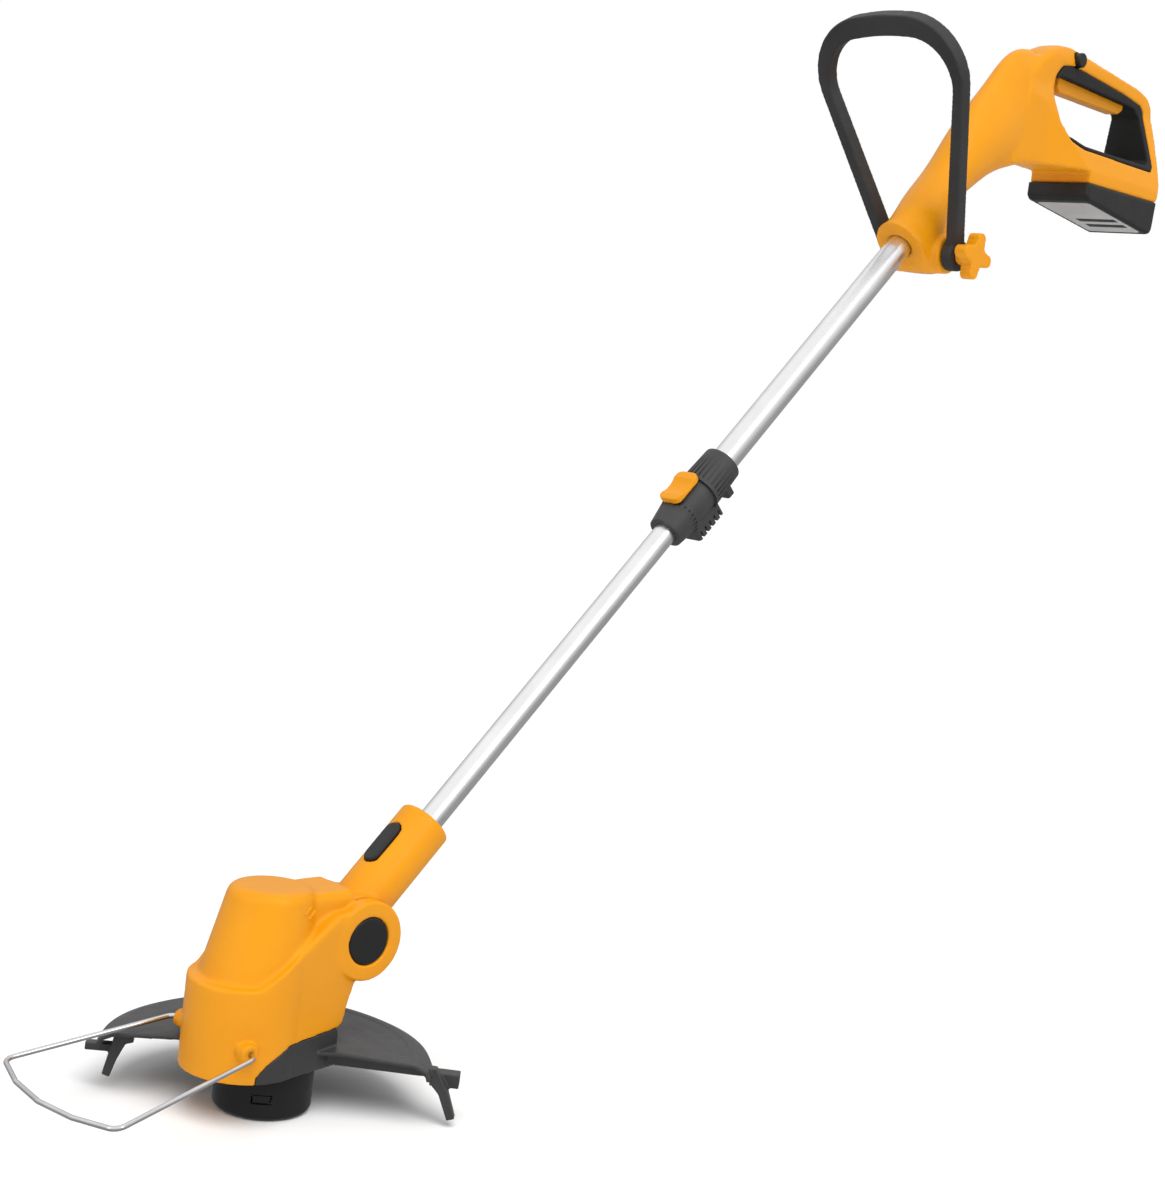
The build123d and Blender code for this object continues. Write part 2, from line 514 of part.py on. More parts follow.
# ---------- rear handle ----------
# neck cross-sections: place along the tube, offset of the centre, half height, half width
NECK_SECTIONS = [(862, 2.3, 26.5, 26.5), (905, 1, 26.5, 26), (954, 8.5, 22, HANDLE_HALF),
                 (985, 8.5, 28.5, HANDLE_HALF), (1014, 7, 35, HANDLE_HALF), (1044, 1, 43.5, 22.5),
                 (1082, -6, 54, 20), (1110, -10, 58, 18.5), (1140, -14, 48, 17)]
# outline of the D-shaped grip frame and the battery dock, (x, z)
FRAME_SIDE = [(800, 856), (824, 860), (870, 866), (920, 868), (920, 856), (1056, 856), (1060, 862),
              (1062, 889), (1059, 925), (1053, 958), (1043, 967), (1019, 972), (976, 977), (924, 984),
              (887, 989), (865, 988), (848, 981), (834, 968), (818, 946)]
OPENING = [(861.5, 936), (864, 956), (874, 968), (890, 971), (909, 970), (950, 966), (992, 962), (1030, 956),
           (1037, 950), (1050, 893), (1046, 887), (1032, 887), (969, 888), (910, 889), (887, 894), (868.5, 911)]
# free space inside the lining; it runs past the opening's front, where the casing is bare
LINING_HOLE = [(850, 930), (850, 953), (878, 956.5), (1006, 951), (1018, 950), (1029, 942), (1041, 898),
               (1036, 893), (969, 892.5), (912, 893), (896, 896), (860, 902)]
WIDTH_LOW_Z, WIDTH_HIGH_Z = 868.0, 945.0
TRIGGER_HALF = 8.0
TRIGGER_PIN = (1004.0, 957.0)
TRIGGER_SPRING_X = 980.0
LOCK_X, LOCK_Z = 899.0, 978.5        # lock-off button: a pin across the grip, pushed from the left
LOCK_HEAD_R, LOCK_SHANK_R, LOCK_FOOT_R = 7.5, 3.5, 6.0
LOCK_OUT, LOCK_HEAD_IN, LOCK_TRAVEL = 21.5, 13.0, 4.0


def neck_form(inset):
    faces = []
    for along, off, tall, wide in NECK_SECTIONS:
        x, z = tube_point(along, off)
        plane = Plane(origin=(x, 0, z), x_dir=TUBE.x_dir, z_dir=TUBE.z_dir)
        faces.append(plane * Ellipse(tall - inset, wide - inset))
    return loft(faces)


def width_envelope(inset):
    """Grip width at the top, flaring to the dock's width at the bottom and toward the rear."""
    grip, dock = GRIP_HALF - inset, DOCK_HALF - inset
    edge = 7.0
    points = [(dock, 840), (dock, WIDTH_LOW_Z), (grip, WIDTH_HIGH_Z), (grip, 977), (grip - edge, 1000),
              (edge - grip, 1000), (-grip, 977), (-grip, WIDTH_HIGH_Z), (-dock, WIDTH_LOW_Z), (-dock, 840)]
    front = extrude(Plane.YZ.offset(700) * Polygon(*points, align=None), 420, dir=(1, 0, 0))
    neck = HANDLE_HALF - 2 - inset
    plan = Polygon((760, neck - 4), (850, neck), (916, dock), (1056, dock), (1082, dock - 10), (1082, 10 - dock),
                   (1056, -dock), (916, -dock), (850, -neck), (760, 4 - neck), align=None)
    return front & extrude(Plane.XY.offset(800) * plan, 220, dir=(0, 0, 1))


def frame_form(inset):
    outline = side(FRAME_SIDE)
    opening = side(OPENING)
    if inset:
        outline = offset(outline, -inset, kind=Kind.INTERSECTION)
        opening = offset(opening, inset, kind=Kind.INTERSECTION)
    return (slab(outline, -50, 50) - slab(opening, -60, 60)) & width_envelope(inset)


def handle_form():
    form = neck_form(0) + frame_form(0)
    boss = cross(LOOP_EYE_R + 3, LOOP_BOLT_X, LOOP_BOLT_Z, -31, 31)
    web = slab(side([tube_point(866, 0), tube_point(866, -16), (688, 732), (714, 736), (724, 800)]), -16, 16)
    sole = LOOP_BOLT_Z - LOOP_EYE_R - 3.5
    return (form + boss + web) & block(500, 1200, -100, 100, sole, 1100) - slab(side(OPENING), -60, 60)


HANDLE_WALL = 3.0
handle_outer = handle_form()
handle = handle_outer - (frame_form(HANDLE_WALL) & block(800, 1100, -60, 60, 800, 1000))
handle -= neck_form(4.0) & (Plane(origin=TUBE.origin, x_dir=TUBE.x_dir, z_dir=TUBE.z_dir)
                            * Pos(0, 0, 1000) * Box(200, 200, 150))
handle -= rod(TUBE, UPPER_TUBE_R + 0.02, 800, UPPER_TUBE_SPAN[1])
handle -= rod(TUBE, 9, 900, 930)
handle -= cross(3.05, LOOP_BOLT_X, LOOP_BOLT_Z, -50, 50)
# pocket that the battery's tongue slides into, open to the rear
TONGUE_HALF, TONGUE_TOP = 24.0, 864.0
handle += block(915, 1060, -DOCK_HALF, DOCK_HALF, BATTERY_TOP, TONGUE_TOP + GAP + 2.0) & handle_outer
handle -= block(931, 1070, -TONGUE_HALF - GAP, TONGUE_HALF + GAP, 850, TONGUE_TOP + GAP)
# cross hole for the lock-off button: wide at its head, narrow for its shank
lock_room = cross(LOCK_HEAD_R + 0.3, LOCK_X, LOCK_Z, -40, -LOCK_HEAD_IN + LOCK_TRAVEL + 0.3)
lock_room += cross(LOCK_SHANK_R + 0.3, LOCK_X, LOCK_Z, -40, 40)
lock_room += cross(LOCK_FOOT_R + 0.3, LOCK_X, LOCK_Z, 11.5, 40)
handle -= lock_room
lining_outer = slab(offset(side(OPENING), -0.1, kind=Kind.INTERSECTION), -50, 50) & width_envelope(0.3)
lining = lining_outer - slab(side(LINING_HOLE), -60, 60)
trigger_room = slab(side([(869, 930), (869, 970), (880, 976), (1016, 967), (1016, 930)]),
                    -TRIGGER_HALF - GAP, TRIGGER_HALF + GAP)
lining -= trigger_room + lock_room
handle -= trigger_room
pin_x, pin_z = TRIGGER_PIN
lining -= cross(2.5 + RUNNING_FIT, pin_x, pin_z, -11.2, 11.2)

handle_sites = [(735, 850, 20), (800, 900, 20), (1062, 912, 17), (845, 968, 14), (1061, 874, 28)]
handle_screws = []
for x, z, limit in handle_sites:
    handle += cross(4.4, x, z, -60, 60) & handle_outer
    handle -= screw_hole(Y_AXIS, x, -z, limit - 3, 6 - limit)
    handle_screws.append(screw(Y_AXIS, x, -z, limit - 3, 6 - limit))
save(half(handle, -1), "handle_left")
save(half(handle, 1), "handle_right")
save(Compound(handle_screws), "handle_screws")
save(lining, "grip_lining")

trigger = slab(side([(885, 943), (1001, 941.5), (1009, 947), (1010, 957), (1004, 961), (900, 964), (879, 958),
                     (879, 948)]), -TRIGGER_HALF, TRIGGER_HALF)
trigger += cross(2.5, pin_x, pin_z, -11, 11)
save(trigger, "trigger")
save(ring(3.5, 2.6, 962, 968.2, TRIGGER_SPRING_X), "trigger_spring")
lock = cross(LOCK_HEAD_R, LOCK_X, LOCK_Z, -LOCK_OUT, -LOCK_HEAD_IN)
lock = fillet(lock.edges().sort_by(Axis.Y)[0], 1.6)
lock += cross(LOCK_SHANK_R, LOCK_X, LOCK_Z, -LOCK_HEAD_IN - 1, 13)
lock += cross(LOCK_FOOT_R, LOCK_X, LOCK_Z, 12, 15.5)
save(lock, "lock_off_button")
save(block(935, 953, -5, 5, 971.5, 976), "microswitch")
save(block(955, 1048, -26, 26, 868.5, 870.1) + block(1025, 1038, -8, 8, 870.1, 878)
     + block(985, 1005, -10, 2, 870.1, 876), "control_board")
save(block(934, 950, -16, 16, TONGUE_TOP + GAP + 2.0, 875), "battery_terminals")

# ---------- loop handle ----------
LOOP_LEG_IN, LOOP_LEG_OUT = 31.6, 44.4
LOOP_DEPTH = 16.0
FAR_EYE_R = 11.0


def loop_outline(foot_y, top_y, top, corner):
    """Legs that spread upward and a slightly arched bar, with rounded top corners."""
    shoulder = top - 7.0
    face = Polygon((-foot_y, 0), (-top_y, shoulder), (0, top), (top_y, shoulder), (foot_y, 0), align=None)
    face = fillet(face.vertices().group_by(Axis.Y)[-1], 140.0)
    corners = [vertex for vertex in face.vertices() if abs(vertex.Y - shoulder) < 0.1]
    return fillet(corners, corner)


outer_face = loop_outline(LOOP_LEG_OUT, 98.0, 239.0, 60.0)
inner_face = loop_outline(LOOP_LEG_IN, 83.0, 219.0, 45.0)
loop_body = extrude(BOLT * (outer_face - inner_face), LOOP_DEPTH / 2, both=True)
for sign, eye_r in ((-1, LOOP_EYE_R), (1, FAR_EYE_R)):
    y_low, y_high = sorted((sign * LOOP_LEG_IN, sign * LOOP_LEG_OUT))
    loop_body += cross(eye_r, LOOP_BOLT_X, LOOP_BOLT_Z, y_low, y_high)
loop_body -= cross(3 + RUNNING_FIT, LOOP_BOLT_X, LOOP_BOLT_Z, -60, 60)
loop_body -= cross(10, LOOP_BOLT_X, LOOP_BOLT_Z, -80, -LOOP_LEG_OUT)
loop_body -= cross(6.4, LOOP_BOLT_X, LOOP_BOLT_Z, LOOP_LEG_OUT - 4, 80)
save(loop_body, "loop_handle")
bolt = cross(3, LOOP_BOLT_X, LOOP_BOLT_Z, -61, LOOP_LEG_OUT - 4)
head = Plane(origin=(LOOP_BOLT_X, LOOP_LEG_OUT - 4, LOOP_BOLT_Z), z_dir=(0, 1, 0)) * RegularPolygon(6, 6)
bolt += extrude(head, 4, dir=(0, 1, 0))
save(bolt, "loop_bolt")
KNOB_FACE = Plane(origin=(LOOP_BOLT_X, -LOOP_LEG_OUT - 0.4, LOOP_BOLT_Z), x_dir=(1, 0, 0), z_dir=(0, -1, 0))
KNOB_LOW, KNOB_HIGH, KNOB_LOBES = 8.0, 21.0, 4
knob = rod(KNOB_FACE, 9, 0, KNOB_HIGH) + rod(KNOB_FACE, 12, KNOB_LOW, KNOB_HIGH)
for index in range(KNOB_LOBES):
    angle = radians(80 + index * 360 / KNOB_LOBES)
    lobe_x, lobe_y = cos(angle), sin(angle)
    knob += rod(KNOB_FACE, 6.2, KNOB_LOW, KNOB_HIGH, 16.6 * lobe_x, 16.6 * lobe_y)
    knob += rod(KNOB_FACE, 7.0, KNOB_LOW, KNOB_HIGH, 11 * lobe_x, 11 * lobe_y)
knob -= rod(KNOB_FACE, 3.05, -1, 17)
knob -= extrude(KNOB_FACE * RegularPolygon(5.6, 6), 5)
save(knob, "star_knob")
nut = extrude(KNOB_FACE * RegularPolygon(5.5, 6), 4.8) - rod(KNOB_FACE, 3.02, -1, 6)
save(nut, "knob_nut")

# ---------- battery ----------
BATTERY_SIDE = [(917, 856), (917, 842), (922, 837.5), (1047, 820.5), (1053, 822), (1056, 827), (1058, 856)]


def build_battery():
    case = slab(side(BATTERY_SIDE), -BATTERY_HALF, BATTERY_HALF)
    case = chamfer(case.edges().filter_by(lambda e: abs(abs(e.center().Y) - BATTERY_HALF) < 0.1
                                          and e.center().Z < 855), 2.0)
    case -= slab(side([(952, 854), (952, 835.8), (1040, 824.4), (1047, 827), (1047, 854)]),
                 -BATTERY_HALF + 3, BATTERY_HALF - 3)
    case += block(932, 1057, -TONGUE_HALF, TONGUE_HALF, BATTERY_TOP, TONGUE_TOP)
    case -= block(920, 952, -17, 17, 858, 870)
    case -= block(1050, 1070, -14.4, 14.4, 843, 853.5)
    return case


battery = build_battery()
BASE_TILT = degrees(atan2(16.5, 121))
base_plane = Plane(origin=(926, 0, 837), x_dir=(cos(radians(BASE_TILT)), 0, -sin(radians(BASE_TILT))),
                   z_dir=(sin(radians(BASE_TILT)), 0, cos(radians(BASE_TILT))))
base = extrude(base_plane * Pos(61, 0) * RectangleRounded(112, 64, 5), 1.6)
battery -= extrude(base_plane * Pos(61, 0) * RectangleRounded(112.4, 64.4, 5), 1.6)
battery -= extrude(base_plane * Pos(61, 0) * RectangleRounded(112.4, 64.4, 5), -5)
for along in (72, 93):
    base -= base_plane * Pos(along, -3, 0) * Box(12, 48, 1.6)
save(battery, "battery_case")
save(base, "battery_base")
cells = [cross(9.0, 961.8 + index * 18.4, 844.6, -32.5, 32.5) for index in range(5)]
save(Compound(cells), "battery_cells")
save(block(1052.6, 1057, -14, 14, 843.4, 853.1), "battery_latch")
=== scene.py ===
"""Looks of the cordless string trimmer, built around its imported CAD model."""
import json
import math

import bmesh
import bpy
from mathutils import Matrix, Vector


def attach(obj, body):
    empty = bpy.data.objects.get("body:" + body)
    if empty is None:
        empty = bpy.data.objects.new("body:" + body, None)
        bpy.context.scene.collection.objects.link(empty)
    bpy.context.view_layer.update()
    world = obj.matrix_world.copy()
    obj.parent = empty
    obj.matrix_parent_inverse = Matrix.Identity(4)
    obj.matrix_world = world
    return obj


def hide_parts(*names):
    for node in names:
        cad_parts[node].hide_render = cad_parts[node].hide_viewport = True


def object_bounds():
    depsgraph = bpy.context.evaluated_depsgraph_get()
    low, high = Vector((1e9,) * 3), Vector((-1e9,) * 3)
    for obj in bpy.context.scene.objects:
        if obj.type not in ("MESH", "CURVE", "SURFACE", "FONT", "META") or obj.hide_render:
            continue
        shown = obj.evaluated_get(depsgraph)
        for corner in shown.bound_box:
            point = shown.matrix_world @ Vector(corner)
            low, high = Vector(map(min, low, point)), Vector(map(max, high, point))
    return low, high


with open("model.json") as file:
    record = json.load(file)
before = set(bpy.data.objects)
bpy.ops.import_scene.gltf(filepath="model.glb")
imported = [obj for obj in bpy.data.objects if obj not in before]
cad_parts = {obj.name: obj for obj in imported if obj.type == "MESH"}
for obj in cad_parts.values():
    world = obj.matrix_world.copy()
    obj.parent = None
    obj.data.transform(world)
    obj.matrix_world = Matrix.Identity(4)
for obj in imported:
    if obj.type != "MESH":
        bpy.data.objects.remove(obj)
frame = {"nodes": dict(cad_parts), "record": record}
CAD_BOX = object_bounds()
NODES = frame["nodes"]
BODY_OF = {n: b for b, group in frame["record"]["behaviour"]["bodies"].items() for n in group}
SLOT_OF = {s["node"]: s["material_slot"] for s in frame["record"]["subparts"]}
scene = bpy.context.scene

LEAN = math.radians(46.0)  # of the tubes, above level
SMOOTH_FACTOR = 0.5
# metres
WELD = 1e-6
ON_SEAM = 5e-6
GROOVE_HALF_WIDTH, GROOVE_DEPTH = 0.0003, 0.0003
# degrees
FLAT_ANGLE = 1.0
BEVEL_ANGLE = 32
SHARP_ANGLE = 40


# ---------- materials ----------
CLOUD_SCALE, WAVE_SCALE, PATCH_SCALE = 14.0, 55.0, 30.0
WAVE_DEPTH = 0.0006


def new_material(name):
    mat = bpy.data.materials.new(name)
    mat.use_nodes = True
    tree = mat.node_tree
    return mat, tree, tree.nodes["Principled BSDF"]


def coords(tree, stretch=(1, 1, 1), turn=(0, 0, 0)):
    """Object coordinates in metres, turned and then stretched."""
    source = tree.nodes.new("ShaderNodeTexCoord")
    mapping = tree.nodes.new("ShaderNodeMapping")
    mapping.inputs["Rotation"].default_value = turn
    scale = tree.nodes.new("ShaderNodeVectorMath")
    scale.operation = "MULTIPLY"
    scale.inputs[1].default_value = stretch
    tree.links.new(source.outputs["Object"], mapping.inputs["Vector"])
    tree.links.new(mapping.outputs["Vector"], scale.inputs[0])
    return scale.outputs[0]


def noise(tree, vector, scale, detail=3.0, rough=0.55):
    node = tree.nodes.new("ShaderNodeTexNoise")
    node.inputs["Scale"].default_value = scale
    node.inputs["Detail"].default_value = detail
    node.inputs["Roughness"].default_value = rough
    tree.links.new(vector, node.inputs["Vector"])
    return node.outputs["Fac"]


def spread(tree, value, low, high, start=0.3, end=0.7):
    """The value's middle range, mapped to low..high."""
    node = tree.nodes.new("ShaderNodeMapRange")
    node.inputs["From Min"].default_value = start
    node.inputs["From Max"].default_value = end
    node.inputs["To Min"].default_value = low
    node.inputs["To Max"].default_value = high
    tree.links.new(value, node.inputs["Value"])
    return node.outputs["Result"]


def two_tone(tree, value, first, second):
    ramp = tree.nodes.new("ShaderNodeValToRGB")
    ramp.color_ramp.elements[0].position = 0.3
    ramp.color_ramp.elements[0].color = (*first, 1)
    ramp.color_ramp.elements[1].position = 0.7
    ramp.color_ramp.elements[1].color = (*second, 1)
    tree.links.new(value, ramp.inputs["Fac"])
    return ramp.outputs["Color"]


def bump(tree, bsdf, height, strength, depth, before=None):
    node = tree.nodes.new("ShaderNodeBump")
    node.inputs["Strength"].default_value = strength
    node.inputs["Distance"].default_value = depth
    tree.links.new(height, node.inputs["Height"])
    if before is not None:
        tree.links.new(before, node.inputs["Normal"])
    tree.links.new(node.outputs["Normal"], bsdf.inputs["Normal"])
    return node.outputs["Normal"]


def moulded(name, first, second, rough, grain, depth, strength=0.4, shine=0.5):
    """Moulded plastic or rubber: cloudy colour, uneven gloss, slow waves and a fine grain."""
    mat, tree, bsdf = new_material(name)
    place = coords(tree)
    clouds = noise(tree, place, CLOUD_SCALE, 4.0)
    tree.links.new(two_tone(tree, clouds, first, second), bsdf.inputs["Base Color"])
    smears = noise(tree, place, CLOUD_SCALE * 5, 5.0, 0.65)
    tree.links.new(spread(tree, smears, rough[0], rough[1]), bsdf.inputs["Roughness"])
    waves = bump(tree, bsdf, noise(tree, place, WAVE_SCALE, 2.0), 0.12, WAVE_DEPTH)
    bump(tree, bsdf, noise(tree, place, grain, 2.0, 0.6), strength, depth, waves)
    bsdf.inputs["Specular IOR Level"].default_value = shine
    return mat


def metal(name, first, second, rough, stretch, turn, depth, scale=260.0):
    """Metal with a streaked gloss; the stretch and turn set which way its lines run."""
    mat, tree, bsdf = new_material(name)
    bsdf.inputs["Metallic"].default_value = 1.0
    lines = coords(tree, stretch, turn)
    streaks = noise(tree, lines, scale, 4.0, 0.6)
    patches = noise(tree, coords(tree), PATCH_SCALE, 4.0)
    tree.links.new(two_tone(tree, patches, first, second), bsdf.inputs["Base Color"])
    tree.links.new(spread(tree, streaks, rough[0], rough[1]), bsdf.inputs["Roughness"])
    bump(tree, bsdf, streaks, 0.25, depth)
    return mat


TUBE_TURN = (0, LEAN - math.pi / 2, 0)
# nodes whose plastic differs in tone from the rest of their slot; the spool's darker tone is partly
# painted shade from under the guard
SHADE_OF = {
    "guard": "guard_plastic", "spool_cap": "spool_plastic", "spool_housing": "spool_plastic",
    "battery_case": "case_plastic", "battery_latch": "case_plastic", "loop_handle": "loop_grip",
}
MATERIALS = {
    "yellow_plastic": moulded("amber_plastic", (0.76, 0.292, 0.0025), (0.80, 0.314, 0.004),
        (0.30, 0.40), 1500.0, 0.00006, strength=0.25, shine=0.3),
    "black_plastic": moulded("charcoal_plastic", (0.036, 0.036, 0.037), (0.050, 0.050, 0.051),
        (0.42, 0.56), 1300.0, 0.00016, strength=0.5, shine=0.42),
    "guard_plastic": moulded("guard_plastic", (0.030, 0.030, 0.031), (0.042, 0.042, 0.043),
        (0.34, 0.46), 1100.0, 0.00012, strength=0.4),
    # the spool's near-black colour is partly its own black plastic and partly painted shade,
    # standing in for the shade under the guard
    "spool_plastic": moulded("spool_plastic", (0.007, 0.007, 0.008), (0.011, 0.011, 0.012),
        (0.40, 0.52), 1300.0, 0.00014, shine=0.35),
    "case_plastic": moulded("case_plastic", (0.010, 0.010, 0.011), (0.016, 0.016, 0.017),
        (0.40, 0.52), 1300.0, 0.00016, strength=0.5, shine=0.4),
    "button_plastic": moulded("button_black", (0.009, 0.009, 0.010), (0.014, 0.014, 0.015),
        (0.34, 0.46), 1500.0, 0.00010, shine=0.4),
    "grip_rubber": moulded("grip_rubber", (0.010, 0.010, 0.010), (0.015, 0.015, 0.015),
        (0.6, 0.76), 1000.0, 0.00022, strength=0.6, shine=0.4),
    "loop_grip": moulded("loop_grip", (0.020, 0.020, 0.021), (0.030, 0.030, 0.031), (0.50, 0.66),
        950.0, 0.00022, strength=0.6),
    "label_grey": moulded("label_grey", (0.33, 0.32, 0.31), (0.42, 0.41, 0.40), (0.3, 0.45),
        1200.0, 0.00005),
    "aluminium": metal("satin_aluminium", (0.80, 0.80, 0.81), (0.88, 0.88, 0.89), (0.24, 0.36),
        (1, 1, 0.02), TUBE_TURN, 0.00003, 900.0),
    "bright_steel": metal("bright_steel", (0.62, 0.62, 0.63), (0.74, 0.74, 0.75), (0.14, 0.24),
        (1, 1, 1), (0, 0, 0), 0.00003, 500.0),
    "screw_steel": metal("zinc_steel", (0.42, 0.42, 0.42), (0.55, 0.55, 0.54), (0.25, 0.42),
        (1, 0.1, 1), (0, 0, 0), 0.00004, 700.0),
    "motor_steel": metal("motor_steel", (0.36, 0.36, 0.36), (0.48, 0.48, 0.48), (0.3, 0.45),
        (1, 1, 0.1), (0, 0, 0), 0.00004),
    "nylon": moulded("natural_nylon", (0.66, 0.65, 0.60), (0.74, 0.73, 0.68), (0.4, 0.5), 900.0,
        0.00006),
    "electronics": moulded("circuit_board", (0.01, 0.10, 0.04), (0.02, 0.15, 0.06), (0.3, 0.4),
        600.0, 0.00004),
    "lead_rubber": moulded("lead_rubber", (0.02, 0.02, 0.02), (0.03, 0.03, 0.03), (0.5, 0.6),
        800.0, 0.0001),
}


def finish_of(node):
    return MATERIALS[SHADE_OF.get(node, SLOT_OF[node])]


# ---------- mesh helpers ----------
def mesh_object(name, mesh, body, mat):
    obj = bpy.data.objects.new(name, mesh)
    scene.collection.objects.link(obj)
    mesh.materials.clear()
    mesh.materials.append(mat)
    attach(obj, body)
    return obj


def joined(nodes):
    """One bmesh of CAD nodes, welded along the seams that the file format splits."""
    bm = bmesh.new()
    for node in nodes:
        bm.from_mesh(NODES[node].data)
    bmesh.ops.remove_doubles(bm, verts=bm.verts, dist=WELD)
    return bm


def baked(obj):
    """Applies every modifier of an object."""
    graph = bpy.context.evaluated_depsgraph_get()
    mesh = bpy.data.meshes.new_from_object(obj.evaluated_get(graph))
    obj.modifiers.clear()
    old, obj.data = obj.data, mesh
    bpy.data.meshes.remove(old)
    return mesh


def smooth_all(mesh, sharp_deg=None):
    mesh.polygons.foreach_set("use_smooth", [True] * len(mesh.polygons))
    if sharp_deg is not None:
        mesh.set_sharp_from_angle(angle=math.radians(sharp_deg))


def relax(obj, zones):
    """Smooths a mesh hard inside soft-edged ellipsoids (centre, radii, passes), given in metres."""
    for index, (centre, radii, passes) in enumerate(zones):
        group = obj.vertex_groups.new(name="zone" + str(index))
        for vert in obj.data.vertices:
            away = [(vert.co[axis] - centre[axis]) / radii[axis] for axis in range(3)]
            near = 1.0 - math.sqrt(sum(part * part for part in away))
            if near > 0:
                group.add([vert.index], min(1.0, near * 2.5), "REPLACE")
        smooth = obj.modifiers.new("zone" + str(index), "SMOOTH")
        smooth.factor = SMOOTH_FACTOR
        smooth.iterations = passes
        smooth.vertex_group = group.name


def seam_groove(mesh, half_width, depth):
    """Cuts a fine V groove where the two halves of a moulding meet, in the plane y = 0.

    The outer pair of cuts keeps the groove's shading close to it.
    """
    bm = bmesh.new()
    bm.from_mesh(mesh)
    for y in (-3 * half_width, -half_width, 0.0, half_width, 3 * half_width):
        geom = bm.verts[:] + bm.edges[:] + bm.faces[:]
        bmesh.ops.bisect_plane(bm, geom=geom, dist=WELD / 10,
                               plane_co=(0, y, 0), plane_no=(0, 1, 0))
    bm.normal_update()
    for vert in bm.verts:
        if abs(vert.co.y) < WELD:
            inward = Vector((vert.normal.x, 0, vert.normal.z))
            if inward.length > 0.3:  # leaves faces that look sideways alone
                vert.co -= inward.normalized() * depth
    bm.to_mesh(mesh)
    bm.free()


def soften(name, nodes, voxel, passes, keep=0.5, zones=(), groove=False):
    """A moulded copy of CAD nodes, its edges rounded as a mould rounds them. Replaces the nodes."""
    bm = joined(nodes)
    if len(nodes) > 1:
        inner = [f for f in bm.faces if all(abs(v.co.y) < ON_SEAM for v in f.verts)]
        bmesh.ops.delete(bm, geom=inner, context="FACES")
    mesh = bpy.data.meshes.new(name)
    bm.to_mesh(mesh)
    bm.free()
    finish = finish_of(nodes[0])
    obj = mesh_object(name, mesh, BODY_OF[nodes[0]], finish)
    remesh = obj.modifiers.new("remesh", "REMESH")
    remesh.mode = "VOXEL"
    remesh.voxel_size = voxel
    baked(obj)
    smooth = obj.modifiers.new("smooth", "SMOOTH")
    smooth.factor = SMOOTH_FACTOR
    smooth.iterations = passes
    relax(obj, zones)
    thin = obj.modifiers.new("thin", "DECIMATE")
    thin.ratio = keep
    mesh = baked(obj)
    obj.vertex_groups.clear()
    if groove:
        seam_groove(mesh, GROOVE_HALF_WIDTH, GROOVE_DEPTH)
    mesh.materials.clear()
    mesh.materials.append(finish)
    smooth_all(mesh)
    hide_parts(*nodes)


def crisp(name, node, width):
    """A copy of a CAD node with its flat faces merged and its edges bevelled. Replaces the node."""
    bm = joined([node])
    bmesh.ops.dissolve_limit(bm, angle_limit=math.radians(FLAT_ANGLE), verts=bm.verts,
                             edges=bm.edges)
    limit = math.radians(BEVEL_ANGLE)
    edges = [e for e in bm.edges if len(e.link_faces) == 2 and e.calc_face_angle(0) > limit]
    bmesh.ops.bevel(bm, geom=edges, offset=width, segments=2, profile=0.5, affect="EDGES",
                    clamp_overlap=True, harden_normals=False)
    mesh = bpy.data.meshes.new(name)
    bm.to_mesh(mesh)
    bm.free()
    obj = mesh_object(name, mesh, BODY_OF[node], finish_of(node))
    smooth_all(mesh, SHARP_ANGLE)
    weighted = obj.modifiers.new("weighted", "WEIGHTED_NORMAL")
    weighted.keep_sharp = True
    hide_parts(node)


for node, obj in NODES.items():
    for item in obj.material_slots:
        item.material = finish_of(node)

# ---------- moulded shells ----------
# each zone is a centre and radii in metres, then a number of passes
HANDLE_ZONES = [
    ((0.850, 0, 0.950), (0.040, 0.045, 0.050), 60),  # where the frame leaves the neck
    ((0.835, 0, 0.895), (0.050, 0.045, 0.045), 60),  # below it
    ((0.815, 0, 0.865), (0.040, 0.045, 0.03), 40),   # the neck's underside
    ((0.850, 0, 0.984), (0.05, 0.03, 0.022), 30),    # the hump
    ((1.050, 0, 0.965), (0.025, 0.03, 0.03), 30),    # the rear top corner
    ((0.735, 0, 0.800), (0.055, 0.045, 0.05), 40),   # the lower neck
]
CASING_ZONES = [
    ((-0.030, 0, 0.107), (0.062, 0.060, 0.016), 36),     # the ledge under the dome
    ((0.010, -0.034, 0.135), (0.035, 0.02, 0.045), 60),  # the side ridges
    ((0.010, 0.034, 0.135), (0.035, 0.02, 0.045), 60),
    ((-0.010, 0, 0.176), (0.05, 0.05, 0.012), 30),       # the dome's top edge
]
soften("handle_shell", ("handle_left", "handle_right"), 0.0015, 9, zones=HANDLE_ZONES,
       groove=True)
soften("motor_shell", ("motor_housing_left", "motor_housing_right"), 0.0011, 7,
       zones=CASING_ZONES, groove=True)
soften("neck_shell", ("neck_left", "neck_right"), 0.0009, 6, groove=True)
soften("loop_grip_body", ("loop_handle",), 0.0011, 14)
soften("grip_lining_body", ("grip_lining",), 0.0010, 9)
soften("guard_body", ("guard",), 0.0008, 2, keep=0.4)
soften("battery_shell", ("battery_case",), 0.0011, 6)
soften("knob_body", ("star_knob",), 0.0007, 8)
soften("trigger_body", ("trigger",), 0.0009, 8)
soften("length_button_body", ("length_button",), 0.0006, 7)
soften("twist_button_body", ("twist_button",), 0.0006, 5)
BEVEL_WIDTHS = {
    "tilt_button": 0.0008, "pivot_cap": 0.0008, "spool_cap": 0.0005, "spool_housing": 0.0005,
    "clamp_body": 0.0005, "clamp_bracket": 0.0006, "clamp_lower_collar": 0.0004,
    "clamp_upper_collar": 0.0004, "battery_base": 0.0005, "battery_latch": 0.0006,
    "line_cutter_blade": 0.0002,
}
for node, width in BEVEL_WIDTHS.items():
    crisp(node + "_part", node, width)


